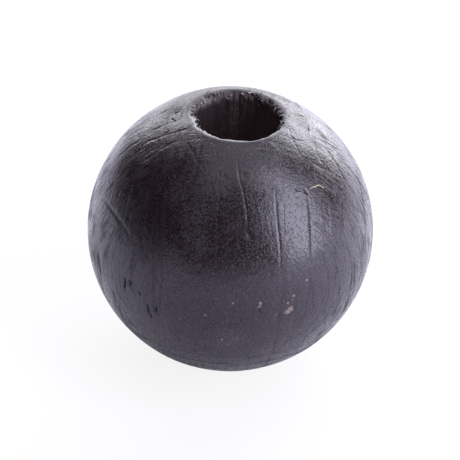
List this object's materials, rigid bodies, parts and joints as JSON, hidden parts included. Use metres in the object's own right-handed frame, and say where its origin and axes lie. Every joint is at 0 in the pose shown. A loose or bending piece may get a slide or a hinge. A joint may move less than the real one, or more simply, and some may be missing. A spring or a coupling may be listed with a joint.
{
  "type": "wooden bead",
  "caption": "Round black-dyed wooden bead: a turned ball with a straight bore through its centre and worn, rounded mouths, for threading on a cord, thong or rod.",
  "frame": {"origin": "centre of the ball, on the bore's axis, halfway between the two end lands", "axes": "+Z along the bore, the way the bead stands on its lower mouth; X and Y are alike"},
  "size_m": [0.012, 0.012, 0.0112],
  "materials": {
    "dyed_wood": "black dye with a thin satin wax, open grain showing, bare wood where it is chipped"
  },
  "bodies": {
    "root": {"bead": "dyed_wood"}
  },
  "joints": []
}
